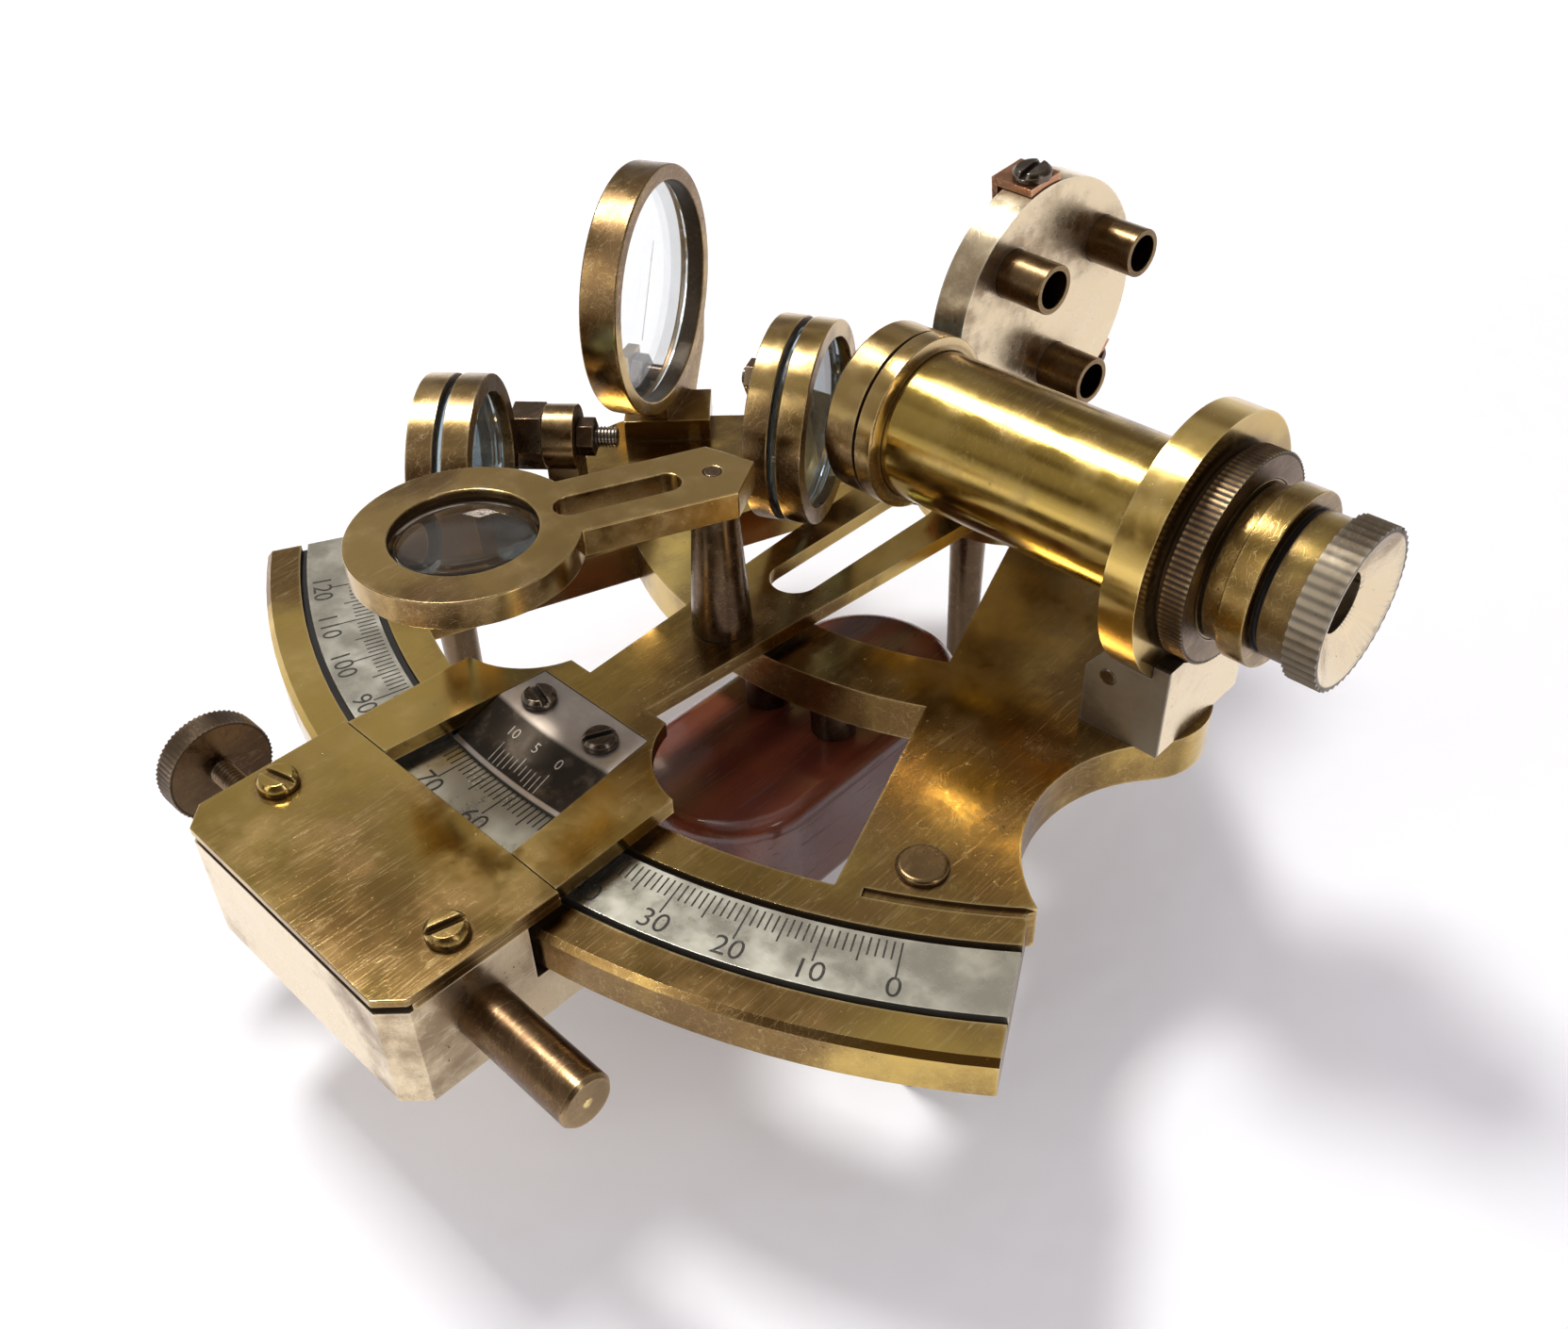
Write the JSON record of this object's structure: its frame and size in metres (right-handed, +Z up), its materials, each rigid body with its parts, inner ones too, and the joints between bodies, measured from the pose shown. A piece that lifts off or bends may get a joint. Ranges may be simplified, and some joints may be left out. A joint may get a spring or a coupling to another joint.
{
  "type": "sextant",
  "caption": "Small brass sextant on three legs, with a telescope, a swinging index arm, mirrors, shades, a magnifier and a wooden handle.",
  "frame": {"origin": "middle of the rear foot's sole, on the table", "axes": "+Z up; -Y from the rear foot under the pivot towards the middle of the scale; +X towards the eyepiece and the zero end of the scale"},
  "size_m": [0.1102, 0.1216, 0.0695],
  "materials": {
    "brass": "aged polished brass with brown tarnish",
    "dark_brass": "brass with heavier brown tarnish",
    "bronze": "dark oxidised bronze",
    "steel": "darkened steel",
    "silver": "silvered brass with engraved divisions",
    "copper": "copper strip",
    "wood": "polished red-brown hardwood",
    "clear_glass": "clear glass",
    "dark_glass": "smoked glass",
    "mirror_glass": "silvered glass"
  },
  "bodies": {
    "base": {"frame": "brass", "scale_strip": "silver", "legs": "bronze", "leg_studs": "bronze", "handle": "wood", "handle_pillars": "dark_brass", "handle_screws": "brass", "bracket_screws": "steel", "horizon_frame": "brass", "horizon_glass": "clear_glass", "horizon_bracket": "brass", "horizon_screw": "steel", "horizon_shade_bracket": "dark_brass", "index_shade_bracket": "dark_brass", "shade_bolts": "steel", "shade_nuts": "bronze", "scope_bracket": "dark_brass", "bracket_pin": "steel", "scope_collar": "brass", "scope_tube": "brass", "objective_ring": "dark_brass", "objective_lens": "clear_glass", "lock_ring": "bronze", "pivot_washer": "dark_brass"},
    "eyepiece": {"eyepiece_barrel": "brass", "eyepiece_cap": "dark_brass", "eye_lens": "clear_glass"},
    "index_arm_set": {"index_arm": "brass", "pivot_pin": "steel", "pivot_nut": "bronze", "vernier_plate": "silver", "vernier_screws": "steel", "cover_plate": "brass", "cover_screws": "brass", "clamp_box": "brass", "spring_barrel": "bronze", "clamp_spring": "steel", "mirror_foot": "brass", "mirror_disc": "brass", "index_mirror": "mirror_glass", "mirror_clips": "copper", "mirror_screws": "steel", "mirror_tubes": "bronze", "magnifier_post": "bronze", "magnifier_rivet": "bronze"},
    "magnifier": {"magnifier_arm": "dark_brass", "magnifier_lens": "clear_glass"},
    "clamp": {"limb_clamp": "dark_brass", "spring_plunger": "steel"},
    "clamp_screw_set": {"clamp_screw": "bronze"},
    "tangent": {"tangent_screw": "bronze", "tangent_knob": "bronze"},
    "index_shade_1_set": {"index_shade_1": "brass", "index_shade_glass_1": "dark_glass"},
    "index_shade_2_set": {"index_shade_2": "brass", "index_shade_glass_2": "dark_glass"},
    "horizon_shade_1_set": {"horizon_shade_1": "brass", "horizon_shade_glass_1": "dark_glass"},
    "horizon_shade_2_set": {"horizon_shade_2": "brass", "horizon_shade_glass_2": "dark_glass"}
  },
  "joints": [
    {"name": "index_arm_swing", "type": "hinge", "parent": "base", "child": "index_arm_set", "pos_m": [0, 0.008, 0.031], "axis": [0, 0, 1], "range_deg": [-1, 30.96]},
    {"name": "magnifier_swing", "type": "hinge", "parent": "index_arm_set", "child": "magnifier", "pos_m": [-0.00084, -0.04239, 0.051], "axis": [0, 0, 1], "range_deg": [0, 50]},
    {"name": "clamp_travel", "type": "slide", "parent": "index_arm_set", "child": "clamp", "axis": [0.9999, -0.0168, 0], "range_m": [-0.0025, 0.0025]},
    {"name": "tangent_turn", "type": "hinge", "parent": "clamp", "child": "tangent", "pos_m": [-0.02161, -0.08785, 0.0264], "axis": [0.9999, -0.0168, 0], "range_deg": [-1801, 1801]},
    {"name": "clamp_screw_turn", "type": "hinge", "parent": "clamp", "child": "clamp_screw_set", "pos_m": [-0.0015, -0.08149, 0.021], "axis": [0, 0, 1], "range_deg": [-180, 180]},
    {"name": "eyepiece_draw", "type": "slide", "parent": "base", "child": "eyepiece", "axis": [1, 0, 0], "range_m": [0, 0.006]},
    {"name": "index_shade_1_swing", "type": "hinge", "parent": "base", "child": "index_shade_1_set", "pos_m": [-0.014, -0.0087, 0.043], "axis": [0.9018, 0.4321, 0], "range_deg": [-110, 0]},
    {"name": "index_shade_2_swing", "type": "hinge", "parent": "base", "child": "index_shade_2_set", "pos_m": [-0.014, -0.0087, 0.043], "axis": [0.9018, 0.4321, 0], "range_deg": [-110, 0]},
    {"name": "horizon_shade_1_swing", "type": "hinge", "parent": "base", "child": "horizon_shade_1_set", "pos_m": [-0.0394, -0.0403, 0.041], "axis": [0.7771, 0.6293, 0], "range_deg": [-130, 0]},
    {"name": "horizon_shade_2_swing", "type": "hinge", "parent": "base", "child": "horizon_shade_2_set", "pos_m": [-0.0394, -0.0403, 0.041], "axis": [0.7771, 0.6293, 0], "range_deg": [-130, 0]}
  ],
  "couplings": [
    {"joint": "tangent_turn", "follows": "clamp_travel", "rad_per_m": 12566}
  ]
}
